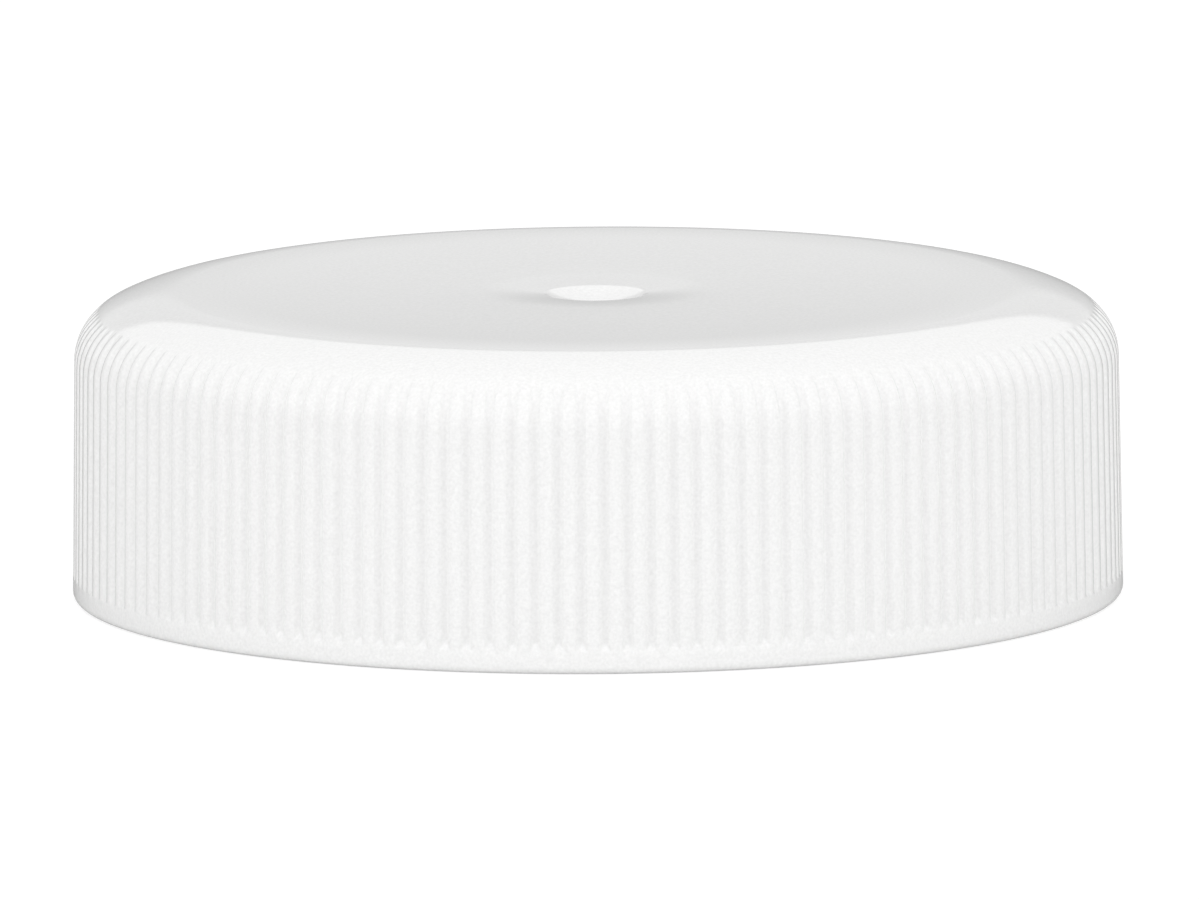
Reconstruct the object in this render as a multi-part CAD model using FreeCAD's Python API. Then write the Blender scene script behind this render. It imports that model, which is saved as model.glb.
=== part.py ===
import FreeCAD, Part
import math
import os

from FreeCAD import Vector

# Foam-lined screw cap for a 38 mm wide-mouth bottle neck. All sizes are in millimetres.
# The cap stands on its open rim. The origin is the centre of the rim, and +Z runs along the
# cap's axis to its closed top.
# A point of a profile is written as (radius, height), and lies in the half plane y = 0.

# Inside of the cap, made to the neck that it fits
THREAD_ROOT_RADIUS = 19.0  # wall between the turns of the thread, at its lower end
ROOT_DRAFT = 0.5  # degrees by which that wall leans in on its way up
ENTRY_RELIEF = 0.25  # the plain wall at the mouth stands back by this much
ENTRY_HEIGHT = 1.2
MOUTH_CHAMFER = 0.2

# Thread, right-handed, with one start
THREAD_PITCH = 25.4 / 6
THREAD_TURNS = 1.25
THREAD_HEIGHT = 1.0
CREST_WIDTH = 0.8
LOWER_FLANK = 45.0  # degrees from the radial direction, towards the mouth
UPPER_FLANK = 20.0  # degrees from the radial direction, the side that pulls on the neck
THREAD_CLEARANCE = 0.3  # between the top of the thread and the liner
RUN_OUT_ANGLE = 30.0  # degrees over which each end of the thread sinks into the wall
SECTIONS_PER_TURN = 24

# Outside of the cap
CAP_HEIGHT = 11.9  # rim to the flat of the top
RIM_WALL = 1.05  # from the plain wall at the mouth to the outside of the ribs
SKIRT_DRAFT = 0.8  # degrees by which the skirt leans in on its way up
RIM_CHAMFER = 0.25  # outer edge of the rim
SHOULDER_RADIUS = 2.3  # rounding between the skirt and the top
CROWN_WIDTH = 6.1  # from the edge of the top's flat out to the radius of the rim
CROWN_RADIUS = 26.5  # arc of the crown between the flat and the shoulder
TOP_WALL = 1.5

# Gate mark in the middle of the top
DISH_RADIUS = 4.6
DISH_DEPTH = 0.14  # at the edge of the bowl
GATE_RADIUS = 1.97  # of the bowl
GATE_DEPTH = 0.42  # of the bowl, below its edge

# Ribs: what stands between evenly spaced V grooves
RIB_COUNT = 144
GROOVE_WIDTH = 0.42  # at full depth
GROOVE_DEPTH = 0.16
PLAIN_BAND = 0.87  # smooth band at the rim, below the grooves
SCOOP_HEIGHT = 0.5  # height over which a groove comes up to its full depth
GROOVE_END_INSET = 0.9  # the grooves run out on the shoulder, this far in from the rim's radius
GROOVED_STEPS = 4  # flat steps that stand for the shoulder's arc where it has grooves
SMOOTH_STEPS = 3  # and above the grooves
CROWN_STEPS = 3  # and over the crown

# Foam liner
LINER_THICKNESS = 1.2
LINER_CLEARANCE = 0.18  # between the liner's edge and the wall round it

# Working allowances of the cuts and joins
CUTTER_PROUD = 0.1  # a cutter reaches this far out of the cap
THREAD_ROOTING = 0.3  # the thread reaches this far into the wall
SAME_PLACE = 1e-6  # corners nearer than this are one corner

ENTRY_RADIUS = THREAD_ROOT_RADIUS + ENTRY_RELIEF
THREAD_CREST_RADIUS = THREAD_ROOT_RADIUS - THREAD_HEIGHT
RIM_RADIUS = ENTRY_RADIUS + RIM_WALL  # over the ribs, where the skirt's line meets the table
FLAT_RADIUS = RIM_RADIUS - CROWN_WIDTH
GROOVE_END_RADIUS = RIM_RADIUS - GROOVE_END_INSET
CEILING_HEIGHT = CAP_HEIGHT - TOP_WALL
LINER_FACE_HEIGHT = CEILING_HEIGHT - LINER_THICKNESS


def skirt_radius(height):
    """Radius of the skirt over the ribs, from its radius at the rim and its draft."""
    return RIM_RADIUS - height * math.tan(math.radians(SKIRT_DRAFT))


def root_radius(height):
    """Radius of the inner wall between the turns of the thread."""
    return THREAD_ROOT_RADIUS - (height - ENTRY_HEIGHT) * math.tan(math.radians(ROOT_DRAFT))


def shoulder_centre():
    """Centre of the shoulder's arc, one radius inside the skirt's line and inside the crown's arc."""
    draft = math.radians(SKIRT_DRAFT)
    crown_centre_height = CAP_HEIGHT - CROWN_RADIUS
    between_centres = CROWN_RADIUS - SHOULDER_RADIUS
    # distance of the crown's centre from the line that the shoulder's centre lies on
    offset = (
        RIM_RADIUS * math.cos(draft)
        - SHOULDER_RADIUS
        - FLAT_RADIUS * math.cos(draft)
        - crown_centre_height * math.sin(draft)
    )
    along = math.sqrt(between_centres**2 - offset**2)
    radius = FLAT_RADIUS + offset * math.cos(draft) - along * math.sin(draft)
    height = crown_centre_height + offset * math.sin(draft) + along * math.cos(draft)
    return radius, height


def steps(start, end, count):
    """Evenly spaced values from start to end, without the start."""
    return [start + (end - start) * i / count for i in range(1, count + 1)]


def on_arc(centre, radius, elevation):
    """Point of a profile's arc whose outward normal has this elevation, in radians."""
    return centre[0] + radius * math.cos(elevation), centre[1] + radius * math.sin(elevation)


def outside_stations():
    """Radius, height, elevation and groove depth at each section, from the rim to the top's flat.

    The elevation is that of the outward normal, in radians.
    """
    draft = math.radians(SKIRT_DRAFT)
    shoulder = shoulder_centre()
    crown = (FLAT_RADIUS, CAP_HEIGHT - CROWN_RADIUS)
    groove_end = math.acos((GROOVE_END_RADIUS - shoulder[0]) / SHOULDER_RADIUS)
    shoulder_end = math.atan2(shoulder[1] - crown[1], shoulder[0] - crown[0])

    def on_skirt(height, depth=0):
        return skirt_radius(height), height, draft, depth

    def on_shoulder(elevation, depth=0):
        return *on_arc(shoulder, SHOULDER_RADIUS, elevation), elevation, depth

    stations = [
        (RIM_RADIUS - RIM_CHAMFER, 0, draft, 0),
        on_skirt(RIM_CHAMFER),
        on_skirt(PLAIN_BAND),
        on_skirt(PLAIN_BAND + SCOOP_HEIGHT, GROOVE_DEPTH),
        on_shoulder(draft, GROOVE_DEPTH),
    ]
    for share in steps(0, 1, GROOVED_STEPS):
        depth = GROOVE_DEPTH * math.cos(share * math.pi / 2) if share < 1 else 0
        stations.append(on_shoulder(draft + (groove_end - draft) * share, depth))
    stations += [on_shoulder(angle) for angle in steps(groove_end, shoulder_end, SMOOTH_STEPS)]
    for angle in steps(shoulder_end, math.pi / 2, CROWN_STEPS):
        stations.append((*on_arc(crown, CROWN_RADIUS, angle), angle, 0))
    return stations


def around(point, angle):
    """A profile's point carried round the axis, in radians."""
    return Vector(point[0] * math.cos(angle), point[0] * math.sin(angle), point[1])


def groove_corners(station, number):
    """Near edge, bottom and far edge of one groove at a station: one point where it has run out."""
    radius, height, elevation, depth = station
    middle = (number + 0.5) * 2 * math.pi / RIB_COUNT
    half_angle = math.asin(GROOVE_WIDTH / 2 * depth / GROOVE_DEPTH / radius)
    bottom = radius - depth * math.cos(elevation), height - depth * math.sin(elevation)
    return [
        around((radius, height), middle - half_angle),
        around(bottom, middle),
        around((radius, height), middle + half_angle),
    ]


def facet(corners):
    """Flat face on its corners, or nothing where they fall on each other."""
    before = corners[-1:] + corners[:-1]
    distinct = [c for c, previous in zip(corners, before) if not c.isEqual(previous, SAME_PLACE)]
    if len(distinct) < 3:
        return []
    return [Part.Face(Part.makePolygon(distinct + distinct[:1]))]


def ribbed_outside():
    """The outside as one closed body: flat-crested ribs and V grooves between all the stations."""
    stations = outside_stations()
    rows = [[groove_corners(s, i) for i in range(RIB_COUNT)] for s in stations]
    faces = facet([groove[1] for groove in rows[0]]) + facet([groove[1] for groove in rows[-1]])
    for lower, upper in zip(rows, rows[1:]):
        for i in range(RIB_COUNT):
            (near, bottom, far), (near_up, bottom_up, far_up) = lower[i], upper[i]
            next_near, next_near_up = lower[i + 1 - RIB_COUNT][0], upper[i + 1 - RIB_COUNT][0]
            faces += facet([far, next_near, next_near_up, far_up])
            faces += facet([near, bottom, near_up]) + facet([bottom, bottom_up, near_up])
            faces += facet([bottom, far, far_up]) + facet([bottom, far_up, bottom_up])
    shell = Part.makeShell(faces)
    shell.sewShape()
    return Part.makeSolid(shell)


def turned(edges):
    """The solid that a closed profile sweeps about the axis."""
    return Part.Face(Part.Wire(edges)).revolve(Vector(0, 0, 0), Vector(0, 0, 1), 360)


def lines(points):
    """Straight edges through a profile's points."""
    places = [around(point, 0) for point in points]
    return [Part.makeLine(start, end) for start, end in zip(places, places[1:])]


def cavity():
    """The space inside the cap, between the turns of the thread."""
    mouth_radius = ENTRY_RADIUS + MOUTH_CHAMFER + CUTTER_PROUD
    return turned(
        lines(
            [
                (0, CEILING_HEIGHT),
                (0, -CUTTER_PROUD),
                (mouth_radius, -CUTTER_PROUD),
                (ENTRY_RADIUS, MOUTH_CHAMFER),
                (ENTRY_RADIUS, ENTRY_HEIGHT),
                (THREAD_ROOT_RADIUS, ENTRY_HEIGHT),
                (root_radius(CEILING_HEIGHT), CEILING_HEIGHT),
                (0, CEILING_HEIGHT),
            ]
        )
    )


def gate_mark():
    """The hollow in the middle of the top: a bowl in a shallow dish."""
    dish_floor = CAP_HEIGHT - DISH_DEPTH
    bowl_radius = (GATE_RADIUS**2 + GATE_DEPTH**2) / (2 * GATE_DEPTH)
    bowl_centre = (0, dish_floor - GATE_DEPTH + bowl_radius)
    bowl_edge = -math.acos(GATE_RADIUS / bowl_radius)
    bowl_points = [
        on_arc(bowl_centre, bowl_radius, angle)
        for angle in (-math.pi / 2, (bowl_edge - math.pi / 2) / 2, bowl_edge)
    ]
    bowl = Part.Arc(*[around(point, 0) for point in bowl_points]).toShape()
    proud_radius = DISH_RADIUS + CUTTER_PROUD * (DISH_RADIUS - GATE_RADIUS) / DISH_DEPTH
    proud_height = CAP_HEIGHT + CUTTER_PROUD
    rest = [bowl_points[-1], (proud_radius, proud_height), (0, proud_height), bowl_points[0]]
    return turned([bowl, *lines(rest)])


def around_axis(shape, angle):
    """A copy of the shape turned about the cap's axis, in degrees."""
    turned = shape.copy()
    turned.rotate(Vector(0, 0, 0), Vector(0, 0, 1), angle)
    return turned


def thread_bead():
    """The thread: its section carried up a helix, with its crest sinking into the wall at both ends."""
    deepest = root_radius(ENTRY_HEIGHT) + THREAD_ROOTING
    lower, upper = math.tan(math.radians(LOWER_FLANK)), math.tan(math.radians(UPPER_FLANK))
    # the bead's upper flank meets the wall this far above the middle of its crest
    flank_at_wall = CREST_WIDTH / 2 + THREAD_HEIGHT * upper
    last_middle = LINER_FACE_HEIGHT - THREAD_CLEARANCE - flank_at_wall
    first_middle = last_middle - THREAD_TURNS * THREAD_PITCH
    run_out_turns = RUN_OUT_ANGLE / 360
    sunk_crest = root_radius(ENTRY_HEIGHT) + THREAD_ROOTING / 2

    def section(turn):
        """The bead's outline after this many turns."""
        share = min(turn / run_out_turns, (THREAD_TURNS - turn) / run_out_turns, 1)
        crest = sunk_crest + (THREAD_CREST_RADIUS - sunk_crest) * math.sin(share * math.pi / 2)
        middle = first_middle + turn * THREAD_PITCH
        bottom, top = middle - CREST_WIDTH / 2, middle + CREST_WIDTH / 2
        corners = [
            Vector(crest, 0, bottom),
            Vector(crest, 0, top),
            Vector(deepest, 0, top + (deepest - crest) * upper),
            Vector(deepest, 0, bottom - (deepest - crest) * lower),
        ]
        return around_axis(Part.makePolygon(corners + corners[:1]), 360 * turn)

    count = round(THREAD_TURNS * SECTIONS_PER_TURN)
    turns = [THREAD_TURNS * i / count for i in range(count + 1)]
    return Part.makeLoft([section(turn) for turn in turns], True)


def cap_shell():
    """The moulded cap: ribbed outside, cavity, gate mark and thread."""
    return ribbed_outside().cut([cavity(), gate_mark()]).fuse(thread_bead())


def foam_liner():
    """The foam disc that lies against the ceiling, held up by the thread."""
    radius = root_radius(CEILING_HEIGHT) - LINER_CLEARANCE
    return Part.makeCylinder(radius, LINER_THICKNESS, Vector(0, 0, LINER_FACE_HEIGHT))


os.makedirs("parts", exist_ok=True)
for name, shape in {"cap_shell": cap_shell(), "foam_liner": foam_liner()}.items():
    solid = shape.Solids[0]
    solid.exportStep(os.path.join("parts", name + ".step"))
    box = solid.BoundBox
    print(
        f"{name}: {len(shape.Solids)} solid, valid {solid.isValid()}, {len(solid.Faces)} faces, "
        f"{solid.Volume:.1f} mm3, {box.XLength:.2f} x {box.YLength:.2f} x {box.ZLength:.2f} mm"
    )
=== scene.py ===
# %% [markdown]
# # A foam-lined screw cap
#
# The object is a low white cap for a wide bottle neck: one moulding with 144 fine ribs, and a
# disc of foam pressed in against its ceiling. Nearly everything on it is round, so nearly every
# surface here is a profile carried round the axis. The ribs and the thread are the two things
# that break that rule, and each has a step of its own.
#
# The CAD model is the frame: it says where the cap stands and how large it is. The pieces below
# repeat its form with rounder ribs and softer edges than a CAD file can afford.

import math

import bpy
import numpy as np
from mathutils import Matrix, Vector


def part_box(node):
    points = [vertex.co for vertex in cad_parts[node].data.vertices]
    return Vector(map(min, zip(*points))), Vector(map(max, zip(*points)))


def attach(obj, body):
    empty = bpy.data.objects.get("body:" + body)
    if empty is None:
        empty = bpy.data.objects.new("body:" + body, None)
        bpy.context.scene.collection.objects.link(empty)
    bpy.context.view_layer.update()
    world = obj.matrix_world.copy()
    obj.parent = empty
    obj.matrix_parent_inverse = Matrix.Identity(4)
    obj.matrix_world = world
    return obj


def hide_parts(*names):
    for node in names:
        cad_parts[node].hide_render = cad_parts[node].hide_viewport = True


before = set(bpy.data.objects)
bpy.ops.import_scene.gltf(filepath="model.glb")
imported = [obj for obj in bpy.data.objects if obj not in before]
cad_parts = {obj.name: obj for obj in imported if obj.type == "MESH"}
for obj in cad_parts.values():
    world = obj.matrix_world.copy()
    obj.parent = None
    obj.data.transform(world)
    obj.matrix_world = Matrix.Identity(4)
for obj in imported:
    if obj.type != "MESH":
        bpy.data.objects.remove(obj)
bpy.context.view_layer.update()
shell_low, shell_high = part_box("cap_shell")
liner_low, liner_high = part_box("foam_liner")
print("nodes:", sorted(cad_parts))

# %% [markdown]
# ## Sizes
#
# Lengths are in metres, so a millimetre is a thousandth. The cap's height, its widest radius and
# the liner's place are read from the frame. The rest are the sizes of the moulding: how far the
# skirt leans, how round the shoulder is, how deep the gate's bowl is. The groove and the thread
# have theirs where they are made.

# %% Sizes of the moulding
MM = 0.001

CAP_HEIGHT = shell_high.z
WIDEST_RADIUS = (shell_high.x - shell_low.x) / 2
RIM_ROUNDING = 0.3 * MM
SKIRT_DRAFT = math.radians(0.8)
SHOULDER_RADIUS = 2.3 * MM
CROWN_RADIUS = 6.5 * MM
FLAT_RADIUS = 16.1 * MM

DISH_RADIUS = 4.6 * MM
DISH_DEPTH = 0.1 * MM
GATE_RADIUS = 1.97 * MM
GATE_DEPTH = 0.42 * MM

THREAD_ROOT_RADIUS = 19.0 * MM
ROOT_DRAFT = math.radians(0.5)
ENTRY_RADIUS = 19.25 * MM
ENTRY_HEIGHT = 1.2 * MM
MOUTH_CHAMFER = 0.2 * MM
CEILING_HEIGHT = liner_high.z
LINER_FACE_HEIGHT = liner_low.z
LINER_RADIUS = (liner_high.x - liner_low.x) / 2

RIM_RADIUS = WIDEST_RADIUS + RIM_ROUNDING * math.tan(SKIRT_DRAFT)


def skirt_radius(height):
    """Radius of the skirt: the rim's radius less the height times the tangent of the draft."""
    return RIM_RADIUS - height * math.tan(SKIRT_DRAFT)


def root_radius(height):
    """Radius of the inner wall: the thread's root less the height times the tangent of its draft."""
    return THREAD_ROOT_RADIUS - (height - ENTRY_HEIGHT) * math.tan(ROOT_DRAFT)


print(f"cap {2000 * WIDEST_RADIUS:.2f} mm wide, {1000 * CAP_HEIGHT:.2f} mm high")

# %% [markdown]
# ## The camera
#
# The photograph is a catalogue picture: a long lens, far away, a little above the table. A ray of
# the camera drops only about nine degrees, so the flat top shrinks to a thin ellipse. The lens
# comes from the scale of the picture: pixels per metre at the axis, times the distance.
# The camera is turned by a part of one rib, so that the grooves fall where they do in the picture.
# The Standard view transform keeps the levels as the lights give them, so white paper stays white.

# %% Camera
PICTURE_WIDTH, PICTURE_HEIGHT = 1199, 900
CAMERA_DISTANCE = 1.157
CAMERA_TURN = math.radians(0.55)
CAMERA_ELEVATION = math.radians(8.63)
CAMERA_ROLL = math.radians(-0.40)
PIXELS_PER_METRE = 25890.0
AIM_HEIGHT = 5.8 * MM
AIM_X, AIM_Y = 597.1, 444.0


def direction(turn, elevation):
    """Unit vector from the cap: (sin turn, -cos turn) times cos elevation, and sin elevation up."""
    level_away = Vector((math.sin(turn), -math.cos(turn), 0))
    return level_away * math.cos(elevation) + Vector((0, 0, math.sin(elevation)))


def facing_back(away):
    """The turn, as a matrix, of a camera or lamp that stands along a direction and looks back."""
    return away.to_track_quat("Z", "Y").to_matrix()


away = direction(CAMERA_TURN, CAMERA_ELEVATION)
rolled = facing_back(away) @ Matrix.Rotation(CAMERA_ROLL, 3, "Z")
right, up = rolled.col[0], rolled.col[1]
aim = (
    Vector((0, 0, AIM_HEIGHT))
    + right * ((PICTURE_WIDTH / 2 - AIM_X) / PIXELS_PER_METRE)
    + up * ((AIM_Y - PICTURE_HEIGHT / 2) / PIXELS_PER_METRE)
)

camera_data = bpy.data.cameras.new("camera")
camera_data.lens = PIXELS_PER_METRE * CAMERA_DISTANCE * camera_data.sensor_width / PICTURE_WIDTH
camera = bpy.data.objects.new("camera", camera_data)
camera.matrix_world = Matrix.Translation(aim + away * CAMERA_DISTANCE) @ rolled.to_4x4()
bpy.context.scene.collection.objects.link(camera)
bpy.context.scene.camera = camera
bpy.context.scene.view_settings.view_transform = "Standard"
print(f"lens {camera_data.lens:.0f} mm at {CAMERA_DISTANCE:.3f} m")

# %% [markdown]
# ## Patches
#
# A moulding could be made with a screw modifier on a drawn profile, but the ribs need many
# columns and the inside needs few. So the skin is made of patches: each is an array of points
# with a row for every point of its profile and a column for every angle. Neighbouring patches
# share their border points, and one last step merges those and drops triangles that have
# shrunk to nothing. Every profile runs the same way, from the middle of the top over the
# skirt and the rim to the middle of the ceiling, which makes every triangle face outwards.
#
# From here on, a name that ends in _r is a distance from the axis and one that ends in _z is a
# height. One that ends in _rows holds how steeply the outward normal rises at each row, and one
# in capitals, such as RIM_ROWS, says how many rows there are.

# %% Patches and their joining
MERGE_DISTANCE = 1e-8


def carried_round(radius, height, angle):
    """Points (radius cos a, radius sin a, height): a row for each radius, a column for each angle."""
    radius, height, angle = np.broadcast_arrays(radius, height, angle)
    return np.stack([radius * np.cos(angle), radius * np.sin(angle), height], axis=-1)


def angles_round(columns):
    """The angles of columns spread evenly round the axis: each one's number times 2 pi / columns."""
    return np.arange(columns) * 2 * math.pi / columns


def turned(radius, height, columns):
    """A profile carried once round the axis on evenly spread columns, as a lathe would make it."""
    radius, height = np.broadcast_arrays(radius, height)
    return carried_round(radius[:, None], height[:, None], angles_round(columns))


def steps_after(first, last, count):
    """Evenly spaced values that go on from the first, which is left out, to the last."""
    return np.linspace(first, last, count + 1)[1:]


def patch(points, closed=True):
    """Vertices and triangles of a grid: two triangles to each cell, wrapped round if closed."""
    rows, columns = points.shape[:2]
    index = np.arange(rows * columns).reshape(rows, columns)
    if closed:
        index = np.concatenate([index, index[:, :1]], axis=1)
    a, b = index[:-1, :-1], index[1:, :-1]
    c, d = index[1:, 1:], index[:-1, 1:]
    triangles = np.stack([np.stack([a, b, c], -1), np.stack([a, c, d], -1)])
    return points.reshape(-1, 3), triangles.reshape(-1, 3)


def between_rings(fine, coarse, fine_first):
    """Fan of triangles between two rings, where the fine one has a whole number of times the points.

    Point j of the coarse ring takes the fine points from j to j + 1 times that number, and one
    more triangle reaches its own neighbour.
    """
    count, ratio = len(coarse), len(fine) // len(coarse)
    own = np.arange(len(fine))
    following = (own + 1) % len(fine)
    centre = len(fine) + own // ratio
    fans = np.stack([own, centre, following], -1)
    last = np.arange(count)
    gaps = np.stack([((last + 1) * ratio) % len(fine), len(fine) + last,
                     len(fine) + (last + 1) % count], -1)
    triangles = np.concatenate([fans, gaps])
    if not fine_first:
        triangles = triangles[:, ::-1]
    return np.concatenate([fine, coarse]), triangles


def joined(patches):
    """One skin from many patches: equal points become one, and collapsed triangles go."""
    starts = np.cumsum([0] + [len(points) for points, _ in patches])
    points = np.concatenate([points for points, _ in patches])
    triangles = np.concatenate([own + start for (_, own), start in zip(patches, starts)])
    keys = np.round(points / MERGE_DISTANCE).astype(np.int64)
    _, first, inverse = np.unique(keys, axis=0, return_index=True, return_inverse=True)
    triangles = inverse.reshape(-1)[triangles]
    a, b, c = triangles.T
    whole = (a != b) & (b != c) & (c != a)
    return points[first], triangles[whole]


def mesh_object(name, points, triangles, sharp_angle):
    """A smooth-shaded object of these triangles, with edges steeper than the angle kept sharp."""
    mesh = bpy.data.meshes.new(name)
    mesh.vertices.add(len(points))
    mesh.vertices.foreach_set("co", points.astype(np.float32).ravel())
    mesh.loops.add(triangles.size)
    mesh.loops.foreach_set("vertex_index", triangles.astype(np.int32).ravel())
    mesh.polygons.add(len(triangles))
    mesh.polygons.foreach_set("loop_start", np.arange(0, triangles.size, 3, dtype=np.int32))
    mesh.update(calc_edges=True)
    mesh.validate()
    mesh.shade_smooth()
    mesh.set_sharp_from_angle(angle=sharp_angle)
    piece = bpy.data.objects.new(name, mesh)
    bpy.context.scene.collection.objects.link(piece)
    return piece


def open_edges(triangles):
    """How many edges don't have exactly two triangles: none, on a closed skin."""
    edges = np.concatenate([triangles[:, [0, 1]], triangles[:, [1, 2]], triangles[:, [2, 0]]])
    _, uses = np.unique(np.sort(edges), axis=0, return_counts=True)
    return int((uses != 2).sum())


# %% [markdown]
# ## The profile of the outside
#
# Seen in section, the top is flat as far as 16 mm from the axis and then curves down along an
# arc, the crown. A tighter arc, the shoulder, turns the crown into the skirt. In the photograph
# the start of the crown is the sharp round border between the grey top and the white shoulder.
# The outline could be drawn by hand as a curve, but two arcs and a line give it from four sizes.
# For the light to glide on from the crown without a kink, the shoulder's arc has to touch both
# the crown's arc and the skirt's leaning line. Its centre is where that holds: one shoulder radius
# inside the skirt's line, and as far from the crown's centre as the two radii differ.

# %% Shoulder and crown
CROWN_CENTRE = np.array([FLAT_RADIUS, CAP_HEIGHT - CROWN_RADIUS])

to_skirt_line = (
    (RIM_RADIUS - CROWN_CENTRE[0]) * math.cos(SKIRT_DRAFT)
    - CROWN_CENTRE[1] * math.sin(SKIRT_DRAFT)
    - SHOULDER_RADIUS
)
along_skirt = math.sqrt((CROWN_RADIUS - SHOULDER_RADIUS) ** 2 - to_skirt_line**2)
SHOULDER_CENTRE = CROWN_CENTRE + np.array(
    [
        to_skirt_line * math.cos(SKIRT_DRAFT) - along_skirt * math.sin(SKIRT_DRAFT),
        to_skirt_line * math.sin(SKIRT_DRAFT) + along_skirt * math.cos(SKIRT_DRAFT),
    ]
)
SHOULDER_END = math.atan2(*(SHOULDER_CENTRE - CROWN_CENTRE)[::-1])


def on_arc(centre, radius, elevation):
    """Points of an arc where the outward normal rises by the elevation: centre + radius (cos, sin)."""
    return centre[0] + radius * np.cos(elevation), centre[1] + radius * np.sin(elevation)


print(f"shoulder centre {1000 * SHOULDER_CENTRE[0]:.2f}, {1000 * SHOULDER_CENTRE[1]:.2f} mm,"
      f" meets the crown at {math.degrees(SHOULDER_END):.1f} degrees")

# %% [markdown]
# ## The ribs
#
# The ribs are what is left between 144 narrow grooves. A groove runs straight up the skirt,
# follows the shoulder for a while and comes up to the surface on a short ramp. At its foot
# another ramp ends it above the plain band at the rim. In the photograph each ramp is a small
# bright arch that widens to the surface, which says how the mould was cut: the groove's section
# stays the same, and the ramp cuts across it. So the depth at a point is the lesser of two
# numbers, the section's depth at its distance from the groove's middle and the ramp's depth at
# its place along the groove. A soft minimum rounds the corner between them.
#
# The grooves could be cut out of a smooth cap one by one, but then 144 cuts would have to meet
# cleanly. Here no cut is made: the skin's own points move in by the groove's depth, so the skin
# stays closed. Each rib has 12 columns: one on the middle of its crest, and the rest at shares of
# the groove's half width on both sides of the groove's middle.

# %% Groove depth
RIB_COUNT = 144
GROOVE_WIDTH = 0.46 * MM
GROOVE_DEPTH = 0.14 * MM
GROOVE_FULLNESS = 1.25
CORNER_SOFTNESS = 0.012 * MM
PLAIN_BAND = 0.87 * MM
RAMP_HEIGHT = 0.33 * MM
RUN_OUT_START = math.radians(25)
RUN_OUT_END = math.radians(55)
COLUMN_SHARES = np.array([0.25, 0.5, 0.72, 0.9, 1.04])

RIB_PITCH = 2 * math.pi / RIB_COUNT
RIB_SPACING = RIB_PITCH * RIM_RADIUS
half_places = COLUMN_SHARES * GROOVE_WIDTH / 2 / RIB_SPACING
column_places = np.concatenate([[-0.5], -half_places[::-1], [0], half_places])
rib_angle = ((np.arange(RIB_COUNT)[:, None] + 0.5 + column_places) * RIB_PITCH).ravel()
from_groove = np.tile(column_places, RIB_COUNT) * RIB_SPACING


def soft_minimum(a, b, softness):
    """The lesser of two arrays with a rounded corner: -k log(exp(-a/k) + exp(-b/k)), not below 0."""
    return np.maximum(0, -softness * np.logaddexp(-a / softness, -b / softness))


def groove_depth(ramp):
    """Depth of the grooves for each ramp depth (rows) and each column.

    The section is a hollow whose depth falls off as 1 less the square of the share of the half
    width, raised to the fullness: 1 would be a parabola with hard edges, more softens its edges.
    """
    share = np.minimum(np.abs(from_groove) / (GROOVE_WIDTH / 2), 1)
    section = GROOVE_DEPTH * (1 - share**2) ** GROOVE_FULLNESS
    return np.where(section > 0, soft_minimum(section, ramp[:, None], CORNER_SOFTNESS), 0)


def ribbed(radius, height, elevation, ramp):
    """Rows of the ribbed skin: each point moves in along its normal by the groove's depth."""
    depth = groove_depth(ramp)
    elevation = elevation[:, None]
    return carried_round(
        radius[:, None] - depth * np.cos(elevation),
        height[:, None] - depth * np.sin(elevation),
        rib_angle,
    )


print(f"{RIB_COUNT} ribs, {1000 * RIB_SPACING:.3f} mm apart, {len(rib_angle)} columns")

# %% [markdown]
# ## The ribbed skin
#
# The rows run from the end of the run-outs on the shoulder down to the rim. They are close
# together where the surface bends or a groove ends, and far apart on the straight skirt. On the
# ramp at the foot both the height and the depth grow with a row's share of the ramp. Between the
# two ramps nothing limits the groove, which the rows say with a ramp of twice its depth.

# %% Rows of the ribbed skin
NO_RAMP = 2 * GROOVE_DEPTH
RAMP_ROWS = 10
RIM_ROWS = 7

shoulder_rows = np.radians([57, 55, 52.5, 50, 47, 44, 41, 38, 35, 32, 29, 26, 23, 18, 12, 6])
shoulder_rows = np.append(shoulder_rows, SKIRT_DRAFT)
shoulder_r, shoulder_z = on_arc(SHOULDER_CENTRE, SHOULDER_RADIUS, shoulder_rows)
shoulder_ramp = (RUN_OUT_END - shoulder_rows) / (RUN_OUT_END - RUN_OUT_START) * GROOVE_DEPTH

ramp_share = np.linspace(1, 0, RAMP_ROWS)
straight_z = np.array([6.6, 4.0, 1.9, 1.3]) * MM
band_z = 0.6 * MM
skirt_z = np.concatenate([straight_z, PLAIN_BAND + RAMP_HEIGHT * ramp_share, [band_z]])
skirt_rows = np.full(len(skirt_z), SKIRT_DRAFT)
skirt_ramp = np.concatenate([np.full(len(straight_z), NO_RAMP), GROOVE_DEPTH * ramp_share, [0]])

rim_rows = np.linspace(SKIRT_DRAFT, -math.pi / 2, RIM_ROWS)
rim_centre = (skirt_radius(RIM_ROUNDING) - RIM_ROUNDING / math.cos(SKIRT_DRAFT), RIM_ROUNDING)
rim_r, rim_z = on_arc(rim_centre, RIM_ROUNDING, rim_rows)

ribbed_skin = ribbed(
    np.concatenate([shoulder_r, skirt_radius(skirt_z), rim_r]),
    np.concatenate([shoulder_z, skirt_z, rim_z]),
    np.concatenate([shoulder_rows, skirt_rows, rim_rows]),
    np.concatenate([shoulder_ramp, skirt_ramp, np.zeros(RIM_ROWS)]),
)
print(f"ribbed skin: {ribbed_skin.shape[0]} rows of {ribbed_skin.shape[1]}")

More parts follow.
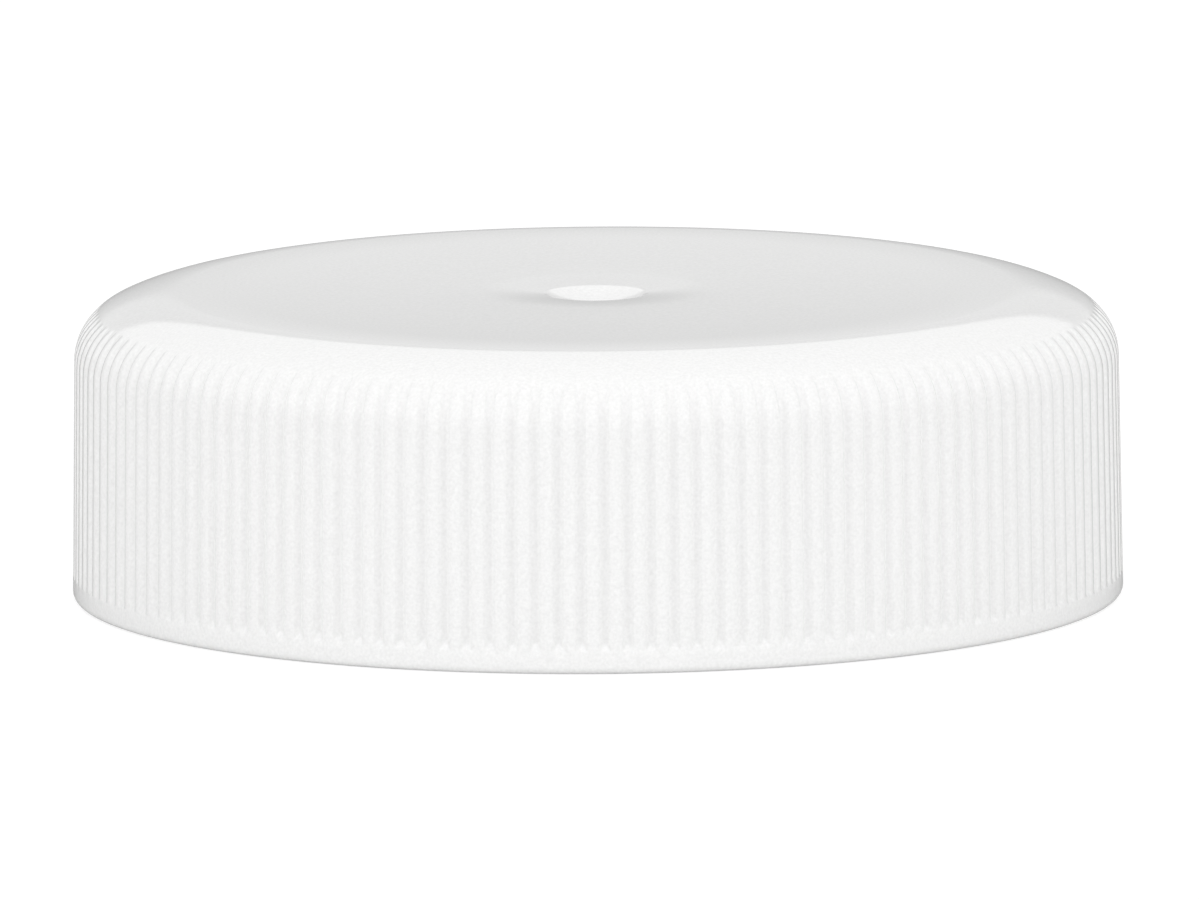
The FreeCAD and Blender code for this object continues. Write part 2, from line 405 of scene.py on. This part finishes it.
# %% [markdown]
# ## The top
#
# Above the ribs the skin is purely round, and a quarter of the columns is enough. Its rows
# start in the middle, where the plastic was injected: a small bowl, left by the sprue, sits in a
# wide and very shallow dish that keeps it below the flat. The bowl's lip is rounded, as every
# edge of a moulding is. The flat is hollow by a tenth of a millimetre in the middle, because a
# moulded disc draws in as it cools.
#
# A ball could be cut out of a flat disc for the bowl. As part of the profile it needs no cut: its
# rows lie on the arc of that ball, and the next ones follow a parabola, the dish.

# %% Rows of the top
TOP_COLUMNS = len(rib_angle) // 4
BOWL_ROWS, FLAT_ROWS, CROWN_ROWS, HIGH_ROWS = 12, 5, 10, 5
LIP_ROUNDING = 0.05 * MM
TOP_SINK = 0.1 * MM

dish_floor = CAP_HEIGHT - DISH_DEPTH
bowl_radius = (GATE_RADIUS**2 + GATE_DEPTH**2) / (2 * GATE_DEPTH)
bowl_edge = math.asin((GATE_RADIUS - LIP_ROUNDING) / bowl_radius)
bowl_rows = np.linspace(-math.pi / 2, bowl_edge - math.pi / 2, BOWL_ROWS)
bowl_r, bowl_z = on_arc((0, dish_floor - GATE_DEPTH + bowl_radius), bowl_radius, bowl_rows)

dish_share = np.array([0.0, 0.02, 0.1, 0.25, 0.45, 0.65, 0.85, 1.0])
dish_r = GATE_RADIUS + LIP_ROUNDING / 2 + (DISH_RADIUS - GATE_RADIUS) * dish_share
dish_z = dish_floor + DISH_DEPTH * (1 - (1 - dish_share) ** 2)

flat_r = steps_after(DISH_RADIUS, FLAT_RADIUS, FLAT_ROWS)
flat_z = np.full(FLAT_ROWS, CAP_HEIGHT)

crown_rows = steps_after(math.pi / 2, SHOULDER_END, CROWN_ROWS)
crown_r, crown_z = on_arc(CROWN_CENTRE, CROWN_RADIUS, crown_rows)
high_rows = steps_after(SHOULDER_END, shoulder_rows[0], HIGH_ROWS)
high_r, high_z = on_arc(SHOULDER_CENTRE, SHOULDER_RADIUS, high_rows)

top_r = np.concatenate([bowl_r, dish_r, flat_r, crown_r, high_r])
top_z = np.concatenate([bowl_z, dish_z, flat_z, crown_z, high_z])
top_z -= np.where(top_r < FLAT_RADIUS, TOP_SINK * (1 - (top_r / FLAT_RADIUS) ** 2), 0)
top_r[0] = 0
top_skin = turned(top_r[:-1], top_z[:-1], TOP_COLUMNS)
print(f"top: {top_skin.shape[0]} rows of {top_skin.shape[1]}, then the first ribbed row")

# %% [markdown]
# ## The inside
#
# The thread is one bead, a turn and a quarter long, with six turns to the inch as on every neck
# of this standard. On a plain grid of rows and columns its edges would cross the rows at a slant
# and come out as steps. So the wall is made as a ribbon one pitch wide that winds up the wall
# like the thread itself, with the bead lying along it. A point is given by the turns s along the
# ribbon and the height w across it: its angle is 2 pi s, its height is the bead's first height +
# pitch s + w, and its radius is the wall's less the bead's. Where the ribbon runs past the bottom
# or the top of the wall, its height is held at that border, so its triangles shrink to nothing
# there and go when merged.
#
# Across the ribbon the rows crowd at the two corners of the bead's crest, where its section bends,
# and only two or three lie on the bare wall on each side.

# %% The bead of the thread
INCH = 25.4 * MM
THREAD_PITCH = INCH / 6
THREAD_TURNS = 1.25
THREAD_HEIGHT = 1.0 * MM
CREST_HALF_WIDTH = 0.4 * MM
LOWER_SLOPE = math.tan(math.radians(45))
UPPER_SLOPE = math.tan(math.radians(20))
THREAD_CLEARANCE = 0.3 * MM
RUN_OUT_TURNS = 30 / 360
BEAD_SOFTNESS = 0.035 * MM
RIBBON_FIRST_TURN, RIBBON_LAST_TURN = -1, 2.5
WALL_COLUMNS = len(rib_angle) // 6

half_pitch = THREAD_PITCH / 2
bead_top = CREST_HALF_WIDTH + THREAD_HEIGHT * UPPER_SLOPE
bead_bottom = -CREST_HALF_WIDTH - THREAD_HEIGHT * LOWER_SLOPE
first_height = LINER_FACE_HEIGHT - THREAD_CLEARANCE - bead_top - THREAD_TURNS * THREAD_PITCH


def bead_height(across):
    """How far the bead stands out: the least of its height and its two flanks, corners rounded."""
    lower = (across - bead_bottom) / LOWER_SLOPE
    upper = (bead_top - across) / UPPER_SLOPE
    flanks = soft_minimum(lower, upper, BEAD_SOFTNESS)
    return soft_minimum(flanks, np.full_like(across, THREAD_HEIGHT), BEAD_SOFTNESS)


def bead_share(turns):
    """Share of the full bead after this many turns: a quarter of a sine wave at each end."""
    share = np.minimum(turns, THREAD_TURNS - turns) / RUN_OUT_TURNS
    return np.sin(np.clip(share, 0, 1) * math.pi / 2)


print(f"bead of {1000 * (bead_top - bead_bottom):.2f} mm, first {1000 * first_height:.2f} mm up")

# %% Rows across the ribbon
FOOT_MARGIN = 0.1 * MM
CORNER_REACH = 0.12 * MM
WALL_ROW = 1.45 * MM

across = np.concatenate(
    [
        [-half_pitch, bead_bottom - FOOT_MARGIN],
        np.linspace(bead_bottom, -CREST_HALF_WIDTH - 0.15 * MM, 5),
        np.linspace(-CREST_HALF_WIDTH - 0.07 * MM, -CREST_HALF_WIDTH + CORNER_REACH, 4),
        [0],
        np.linspace(CREST_HALF_WIDTH - CORNER_REACH, CREST_HALF_WIDTH + 0.05 * MM, 4),
        np.linspace(CREST_HALF_WIDTH + CORNER_REACH, bead_top + 0.02 * MM, 4),
        [bead_top + FOOT_MARGIN, WALL_ROW, half_pitch],
    ]
)[:, None]
print(f"{len(across)} rows across the ribbon")

# %% Wall, mouth and ceiling
first_column = RIBBON_FIRST_TURN * WALL_COLUMNS
last_column = round(RIBBON_LAST_TURN * WALL_COLUMNS)
ribbon_columns = np.arange(first_column, last_column + 1)
turns = ribbon_columns / WALL_COLUMNS
ribbon_z = np.clip(first_height + THREAD_PITCH * turns + across, ENTRY_HEIGHT, CEILING_HEIGHT)
ribbon_r = root_radius(ribbon_z) - bead_height(across) * bead_share(turns)
ribbon_angle = angles_round(WALL_COLUMNS)[ribbon_columns % WALL_COLUMNS]
wall_ribbon = carried_round(ribbon_r, ribbon_z, ribbon_angle)

mouth_r = [ENTRY_RADIUS + MOUTH_CHAMFER, ENTRY_RADIUS, ENTRY_RADIUS, root_radius(ENTRY_HEIGHT)]
mouth_z = [0, MOUTH_CHAMFER, ENTRY_HEIGHT, ENTRY_HEIGHT]
mouth_skin = turned(mouth_r, mouth_z, WALL_COLUMNS)

ceiling_radius = root_radius(CEILING_HEIGHT)
ceiling_skin = turned([ceiling_radius, ceiling_radius / 2, 0], CEILING_HEIGHT, WALL_COLUMNS)
print(f"ribbon: {wall_ribbon.shape[0]} rows of {wall_ribbon.shape[1]}")

# %% [markdown]
# ## The shell in one skin
#
# Two fans of triangles join the patches that differ in columns: one on the shoulder, just above
# the grooves, and one on the flat of the rim. Then all is merged, and a count of open edges
# tells whether the skin is closed. The patches could also be left apart, which looks the same,
# but only a closed skin has a volume.

# %% The cap shell
SHELL_SHARP_ANGLE = math.radians(38)

shell_points, shell_triangles = joined(
    [
        patch(top_skin),
        between_rings(ribbed_skin[0], top_skin[-1], fine_first=False),
        patch(ribbed_skin),
        between_rings(ribbed_skin[-1], mouth_skin[0], fine_first=True),
        patch(mouth_skin),
        patch(wall_ribbon, closed=False),
        patch(ceiling_skin),
    ]
)
shell = mesh_object("moulded_cap", shell_points, shell_triangles, SHELL_SHARP_ANGLE)
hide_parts("cap_shell")
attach(shell, "root")
print(f"shell: {len(shell_triangles)} triangles, {open_edges(shell_triangles)} open edges")

# %% [markdown]
# ## The foam liner
#
# The liner is punched from a sheet of fine closed-cell foam. The punch squeezes the foam before
# it cuts, so the cut edge springs back slightly hollow, and the two faces end in a small soft
# roundness. A cylinder with a bevel would give the roundness but not the hollow, so the disc is a
# profile like the rest, and the hollow is half a sine wave. The face that shows is not quite flat
# either: foam has a faint unevenness, made here from a few long waves that cross. It never leaves
# the space of its CAD disc.

# %% The liner's profile
LINER_COLUMNS = 288
ROUNDING_ROWS, EDGE_ROWS, FACE_ROWS = 5, 6, 39
EDGE_HOLLOW = 0.06 * MM
EDGE_ROUNDING = 0.12 * MM

quarter = np.linspace(math.pi / 2, 0, ROUNDING_ROWS)
edge_centre_r = LINER_RADIUS - EDGE_ROUNDING
upper_centre = (edge_centre_r, CEILING_HEIGHT - EDGE_ROUNDING)
lower_centre = (edge_centre_r, LINER_FACE_HEIGHT + EDGE_ROUNDING)
upper_r, upper_z = on_arc(upper_centre, EDGE_ROUNDING, quarter)
lower_r, lower_z = on_arc(lower_centre, EDGE_ROUNDING, quarter - math.pi / 2)
edge_share = steps_after(0, 1, EDGE_ROWS + 1)[:-1]
edge_r = LINER_RADIUS - EDGE_HOLLOW * np.sin(edge_share * math.pi)
edge_z = upper_z[-1] + (lower_z[0] - upper_z[-1]) * edge_share
face_r = steps_after(edge_centre_r, 0, FACE_ROWS)
face_z = np.full(FACE_ROWS, LINER_FACE_HEIGHT)

liner_r = np.concatenate([[0, LINER_RADIUS / 2], upper_r, edge_r, lower_r, face_r])
liner_z = np.concatenate([[CEILING_HEIGHT] * 2, upper_z, edge_z, lower_z, face_z])
liner_skin = turned(liner_r, liner_z, LINER_COLUMNS)

# %% Its uneven face
FACE_WAVE = 0.02 * MM
WAVE_LENGTHS = [7.3 * MM, 5.1 * MM, 9.7 * MM]
WAVE_DIRECTIONS = [(0.94, 0.34), (-0.5, 0.87), (0.17, -0.98)]
WAVE_STARTS = [0.0, 1.0, 2.0]


def face_waves(x, y):
    """Crossing waves, each a sine of the distance along its direction, brought to between 0 and 1."""
    waves = [
        np.sin(2 * math.pi * (x * along_x + y * along_y) / length + start)
        for length, (along_x, along_y), start in zip(WAVE_LENGTHS, WAVE_DIRECTIONS, WAVE_STARTS)
    ]
    return sum(waves) / (2 * len(waves)) + 0.5


x, y, z = liner_skin[..., 0], liner_skin[..., 1], liner_skin[..., 2]
z += np.where(z < LINER_FACE_HEIGHT + FACE_WAVE, FACE_WAVE * face_waves(x, y), 0)
print(f"face waves of {1000 * FACE_WAVE:.2f} mm, from {1000 * z.min():.3f} mm above the rim")

# %% The foam liner
LINER_SHARP_ANGLE = math.radians(60)

liner_points, liner_triangles = joined([patch(liner_skin)])
liner = mesh_object("liner_disc", liner_points, liner_triangles, LINER_SHARP_ANGLE)
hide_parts("foam_liner")
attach(liner, "root")
print(f"liner: {len(liner_triangles)} triangles, {open_edges(liner_triangles)} open edges")

# %% [markdown]
# ## Effects that both finishes share
#
# Neither piece is perfectly smooth or perfectly even. A moulded cap has the fine matt grain of
# its mould, and foam has cells. The gloss of the plastic also varies slowly from place to place.
# A painted image could hold all this, but it would need to be unwrapped and would show its
# pixels up close. So a shader node group makes both effects from noise, once: fine grain and
# slow variation, each a number between 0 and 1. Each material places the group with its own
# sizes and takes the effects that it needs.

# %% Node group for grain and slow variation
EFFECTS = ["Grain", "Variation"]


def group_with(name, inputs, outputs):
    """An empty shader node group with number sockets, and its input and output nodes."""
    group = bpy.data.node_groups.new(name, "ShaderNodeTree")
    for socket in inputs:
        group.interface.new_socket(socket, in_out="INPUT", socket_type="NodeSocketFloat")
    for socket in outputs:
        group.interface.new_socket(socket, in_out="OUTPUT", socket_type="NodeSocketFloat")
    return group, group.nodes.new("NodeGroupInput"), group.nodes.new("NodeGroupOutput")


grain_group, grain_in, grain_out = group_with(
    "grain_and_variation", [f"{effect} Scale" for effect in EFFECTS], EFFECTS
)
on_object = grain_group.nodes.new("ShaderNodeTexCoord").outputs["Object"]
for effect in EFFECTS:
    noise = grain_group.nodes.new("ShaderNodeTexNoise")
    grain_group.links.new(on_object, noise.inputs["Vector"])
    grain_group.links.new(grain_in.outputs[f"{effect} Scale"], noise.inputs["Scale"])
    grain_group.links.new(noise.outputs["Fac"], grain_out.inputs[effect])
print(f"group: {grain_group.name}, {len(grain_group.nodes)} nodes")

# %% [markdown]
# ## Helpers for node trees
#
# The same few steps come back in every material and in the studio's light: mix two colours,
# bring a number to another range, turn a height into a tilt of the surface. Each is a function
# that adds its node to a tree and gives back the socket to go on from.

# %% Helpers for node trees
BUMP_STRENGTH = 0.6


def material_with(name):
    """A new material with its node tree and its Principled shader."""
    material = bpy.data.materials.new(name)
    material.use_nodes = True
    return material, material.node_tree, material.node_tree.nodes["Principled BSDF"]


def effects_in(tree, sizes):
    """The shared group in a tree, where each named effect has features of its size in metres."""
    effects = tree.nodes.new("ShaderNodeGroup")
    effects.node_tree = grain_group
    for effect, size in sizes.items():
        effects.inputs[f"{effect} Scale"].default_value = 1 / size
    return effects


def mixed_colour(tree, factor, low, high):
    """A colour between two, by a factor socket. Each colour is three numbers or a socket."""
    mix = tree.nodes.new("ShaderNodeMix")
    mix.data_type = "RGBA"
    tree.links.new(factor, mix.inputs["Factor"])
    for name, colour in [("A", low), ("B", high)]:
        if isinstance(colour, tuple):
            mix.inputs[name].default_value = (*colour, 1)
        else:
            tree.links.new(colour, mix.inputs[name])
    return mix.outputs["Result"]


def ranged(tree, value, low, high, start=0, end=1, curve="LINEAR"):
    """A value between start and end brought to the range from low to high, evenly or by a curve."""
    to_range = tree.nodes.new("ShaderNodeMapRange")
    to_range.interpolation_type = curve
    for name, level in [("From Min", start), ("From Max", end), ("To Min", low), ("To Max", high)]:
        to_range.inputs[name].default_value = level
    tree.links.new(value, to_range.inputs["Value"])
    return to_range.outputs["Result"]


def bumped(tree, height, distance):
    """A normal from a height, where a height of 1 stands for this distance in metres."""
    bump = tree.nodes.new("ShaderNodeBump")
    bump.inputs["Distance"].default_value = distance
    bump.inputs["Strength"].default_value = BUMP_STRENGTH
    tree.links.new(height, bump.inputs["Height"])
    return bump.outputs["Normal"]


# %% [markdown]
# ## White polypropylene
#
# The cap is moulded in white polypropylene. Seen along the nearly flat top, it mirrors what
# stands behind it; seen face on, it is a soft satin white. That is what a plain dielectric does:
# little reflection head on, much at a glancing view. So the material is a Principled shader with
# a pale colour and a low roughness. The mottle in the photograph is one of tone more than of
# relief, so the grain mixes two whites and trembles the surface by very little: a rougher
# surface would blur the border that runs round the top.

# %% Cap material
CAP_WHITE = (0.94, 0.94, 0.937)
CAP_WHITE_LOW = (0.77, 0.77, 0.767)
CAP_FEATURES = {"Grain": 0.12 * MM, "Variation": 9 * MM}
CAP_ROUGHNESS = (0.05, 0.08)
GRAIN_RELIEF = 0.002 * MM
POLYPROPYLENE_IOR = 1.49

cap_material, cap_tree, cap_shader = material_with("white_polypropylene")
cap_effects = effects_in(cap_tree, CAP_FEATURES)
grain, variation = cap_effects.outputs["Grain"], cap_effects.outputs["Variation"]
cap_colour = mixed_colour(cap_tree, grain, CAP_WHITE_LOW, CAP_WHITE)
cap_roughness = ranged(cap_tree, variation, *CAP_ROUGHNESS)
cap_tree.links.new(cap_colour, cap_shader.inputs["Base Color"])
cap_tree.links.new(cap_roughness, cap_shader.inputs["Roughness"])
cap_tree.links.new(bumped(cap_tree, grain, GRAIN_RELIEF), cap_shader.inputs["Normal"])
cap_shader.inputs["IOR"].default_value = POLYPROPYLENE_IOR
shell.data.materials.append(cap_material)
print("material:", cap_material.name)

# %% [markdown]
# ## Polyethylene foam
#
# The liner's foam has closed cells a fraction of a millimetre wide. Cut or skinned, its face
# shows them as shallow polygons with thin walls between. Modelled one by one they would take more
# triangles than the whole cap. A Voronoi pattern has the same cells, and its distance to the
# nearest edge makes both the bump and a painted shade that darkens the hollows. Foam is matt.

# %% Foam material
FOAM_CELL = 0.28 * MM
CELL_WALL_SHARE = 0.25
CELL_RELIEF = 0.03 * MM
FOAM_WHITE = (0.9, 0.9, 0.88)
FOAM_PAINTED_SHADE = (0.8, 0.8, 0.78)
FOAM_FEATURES = {"Grain": 0.08 * MM}
FOAM_ROUGHNESS = (0.65, 0.85)

foam_material, foam_tree, foam_shader = material_with("closed_cell_foam")
foam_effects = effects_in(foam_tree, FOAM_FEATURES)
in_foam = foam_tree.nodes.new("ShaderNodeTexCoord").outputs["Object"]
cells = foam_tree.nodes.new("ShaderNodeTexVoronoi")
cells.feature = "DISTANCE_TO_EDGE"
cells.inputs["Scale"].default_value = 1 / FOAM_CELL
foam_tree.links.new(in_foam, cells.inputs["Vector"])
hollow = ranged(foam_tree, cells.outputs["Distance"], 0, 1, end=CELL_WALL_SHARE)
foam_height = ranged(foam_tree, hollow, 1, 0)
# Painted shade: the colour darkens towards the middle of each cell's hollow, where shade would fall.
foam_colour_with_painted_shade = mixed_colour(foam_tree, hollow, FOAM_WHITE, FOAM_PAINTED_SHADE)
foam_roughness = ranged(foam_tree, foam_effects.outputs["Grain"], *FOAM_ROUGHNESS)
foam_tree.links.new(foam_colour_with_painted_shade, foam_shader.inputs["Base Color"])
foam_tree.links.new(foam_roughness, foam_shader.inputs["Roughness"])
foam_tree.links.new(bumped(foam_tree, foam_height, CELL_RELIEF), foam_shader.inputs["Normal"])
liner.data.materials.append(foam_material)
print("material:", foam_material.name)

# %% [markdown]
# ## The table
#
# The photograph's ground is pure white, up to the cap. A lit white floor is never quite white
# and never even, so the floor's material gives the camera a mix: a little of its own lit colour,
# which keeps the cap's shadow, and enough white light of its own to come out white where
# nothing shades it. The lit card alone is taken to reach a level of 0.7, and the glow makes up the
# rest. To the lamps' light it is plain white card. The cap doesn't mirror it, because the lowest
# strip of the skirt is darker in the photograph than a white table would make it. It lies a hair
# below the rim, so that the two don't share a plane.

# %% Floor
FLOOR_RADIUS = 1.5
FLOOR_RINGS = [0, 0.05, 0.2, FLOOR_RADIUS]
FLOOR_COLUMNS = 96
FLOOR_GAP = 0.01 * MM
FLOOR_WHITE = (0.9, 0.9, 0.9)
SHADOW_SHARE = 0.35
LIT_CARD_LEVEL = 0.7

floor_skin = turned(FLOOR_RINGS, -FLOOR_GAP, FLOOR_COLUMNS)
floor = mesh_object("table", *joined([patch(floor_skin)]), sharp_angle=math.pi)
floor.visible_glossy = False
print(f"floor: {2 * FLOOR_RADIUS:.1f} m wide, {1000 * FLOOR_GAP:.2f} mm below the rim")


# %% Floor material
def diffuse_in(tree, colour):
    """A plain matt shader of this colour in a tree."""
    diffuse = tree.nodes.new("ShaderNodeBsdfDiffuse")
    diffuse.inputs["Color"].default_value = (*colour, 1)
    return diffuse.outputs["BSDF"]


floor_material, floor_tree, floor_shader = material_with("white_card")
floor_tree.nodes.remove(floor_shader)
card = diffuse_in(floor_tree, FLOOR_WHITE)
faint_card = diffuse_in(floor_tree, tuple(SHADOW_SHARE * level for level in FLOOR_WHITE))
glow = floor_tree.nodes.new("ShaderNodeEmission")
glow.inputs["Strength"].default_value = 1 - LIT_CARD_LEVEL * SHADOW_SHARE
seen = floor_tree.nodes.new("ShaderNodeAddShader")
floor_tree.links.new(faint_card, seen.inputs[0])
floor_tree.links.new(glow.outputs["Emission"], seen.inputs[1])
camera_looks = floor_tree.nodes.new("ShaderNodeLightPath").outputs["Is Camera Ray"]
choice = floor_tree.nodes.new("ShaderNodeMixShader")
floor_tree.links.new(camera_looks, choice.inputs["Fac"])
floor_tree.links.new(card, choice.inputs[1])
floor_tree.links.new(seen.outputs["Shader"], choice.inputs[2])
surface = floor_tree.nodes["Material Output"].inputs["Surface"]
floor_tree.links.new(choice.outputs["Shader"], surface)
floor.data.materials.append(floor_material)
print("material:", floor_material.name)

# %% [markdown]
# ## Studio light
#
# The picture tells how the set was lit. The top, seen at a glance, mirrors what is low behind the
# cap, and is a middle grey. Where the crown tips forward by five degrees it mirrors what is
# higher than eighteen degrees, and jumps to white. The far edge and the two ends of the plain
# band mirror what is lower still, and are dark. So round the set there is a dim band just above
# the table, and broad white light above it. Cards on stands could make that band, each one placed
# until it shows in the right spot. A ramp on the elevation of a ray says the same directly, so
# the world holds two of them, as pairs of degrees and level: one for the front and back, and one
# that takes over between 35 and 60 degrees to either side. What the camera sees past the table is
# plain white.

# %% World
LOW_BAND_TOP = 17.5
WHITE_START = 18.5
UPPER_LIGHTS = [(LOW_BAND_TOP, 0.5), (WHITE_START, 0.97), (90, 0.92)]
BACK_LIGHTS = [(-12, 0.4), (-2, 0.4), (1, 0.45), (7, 0.49), (9.3, 0.7)] + UPPER_LIGHTS
SIDE_LIGHTS = [(-12, 0.35), (0, 0.25), (8, 0.25)] + UPPER_LIGHTS
SIDE_START = math.sin(math.radians(35))
SIDE_FULL = math.sin(math.radians(60))


def light_by_elevation(tree, sine, levels):
    """A colour ramp over the sine of the elevation, from (degrees, level) pairs."""
    lowest = math.sin(math.radians(levels[0][0]))
    ramp = tree.nodes.new("ShaderNodeValToRGB")
    elements = ramp.color_ramp.elements
    elements.remove(elements[1])
    elements[0].color = (*[levels[0][1]] * 3, 1)
    for degrees, level in levels[1:]:
        position = (math.sin(math.radians(degrees)) - lowest) / (1 - lowest)
        elements.new(position).color = (level, level, level, 1)
    tree.links.new(ranged(tree, sine, 0, 1, start=lowest), ramp.inputs["Fac"])
    return ramp.outputs["Color"]


world = bpy.data.worlds.new("studio")
world.use_nodes = True
bpy.context.scene.world = world
studio_tree = world.node_tree
ray_direction = studio_tree.nodes.new("ShaderNodeTexCoord").outputs["Generated"]
split = studio_tree.nodes.new("ShaderNodeSeparateXYZ")
studio_tree.links.new(ray_direction, split.inputs["Vector"])
sideways = studio_tree.nodes.new("ShaderNodeMath")
sideways.operation = "ABSOLUTE"
studio_tree.links.new(split.outputs["X"], sideways.inputs[0])

side_share = ranged(
    studio_tree, sideways.outputs["Value"], 0, 1, SIDE_START, SIDE_FULL, curve="SMOOTHSTEP"
)
back_light = light_by_elevation(studio_tree, split.outputs["Z"], BACK_LIGHTS)
side_light = light_by_elevation(studio_tree, split.outputs["Z"], SIDE_LIGHTS)
studio_light = mixed_colour(studio_tree, side_share, back_light, side_light)
seen_directly = studio_tree.nodes.new("ShaderNodeLightPath").outputs["Is Camera Ray"]
background_colour = mixed_colour(studio_tree, seen_directly, studio_light, (1, 1, 1))
studio_tree.links.new(background_colour, studio_tree.nodes["Background"].inputs["Color"])
print(f"dim up to {LOW_BAND_TOP} degrees, white from {WHITE_START} degrees")

# %% [markdown]
# ## Soft boxes
#
# The world alone leaves the skirt grey. Two wide, low soft boxes stand at the sides of the
# camera, just above the table: lit from the two sides at once, every groove has a soft shade and
# none has a hard streak. A small third one overhead brightens the shoulder and the gate's bowl.
# They light the cap but aren't mirrored in it: seen in the top from behind, a box would burn it
# out to white. What the plastic mirrors is the world alone.

# %% Lamps
LAMP_DISTANCE = 0.75
SIDE_SIZE = (1.0, 0.36)
SIDE_TURN, SIDE_ELEVATION = 52, 16
SIDE_POWER = 1.5
OVERHEAD_SIZE = (0.3, 0.3)
OVERHEAD_ELEVATION = 68
OVERHEAD_POWER = 0.2


def soft_box(name, turn, elevation, size, power):
    """A soft box, so wide and high, that looks at the cap from a turn and an elevation in degrees."""
    lamp = bpy.data.lights.new(name, "AREA")
    lamp.shape = "RECTANGLE"
    lamp.size, lamp.size_y = size
    lamp.energy = power
    towards = direction(math.radians(turn), math.radians(elevation))
    place = Matrix.Translation(towards * LAMP_DISTANCE)
    holder = bpy.data.objects.new(name, lamp)
    holder.matrix_world = place @ facing_back(towards).to_4x4()
    holder.visible_glossy = False
    bpy.context.scene.collection.objects.link(holder)


soft_box("lamp_left", -SIDE_TURN, SIDE_ELEVATION, SIDE_SIZE, SIDE_POWER)
soft_box("lamp_right", SIDE_TURN, SIDE_ELEVATION, SIDE_SIZE, SIDE_POWER)
soft_box("lamp_overhead", 0, OVERHEAD_ELEVATION, OVERHEAD_SIZE, OVERHEAD_POWER)
print(f"side boxes of {SIDE_POWER} W at {SIDE_TURN} degrees, overhead box of {OVERHEAD_POWER} W")
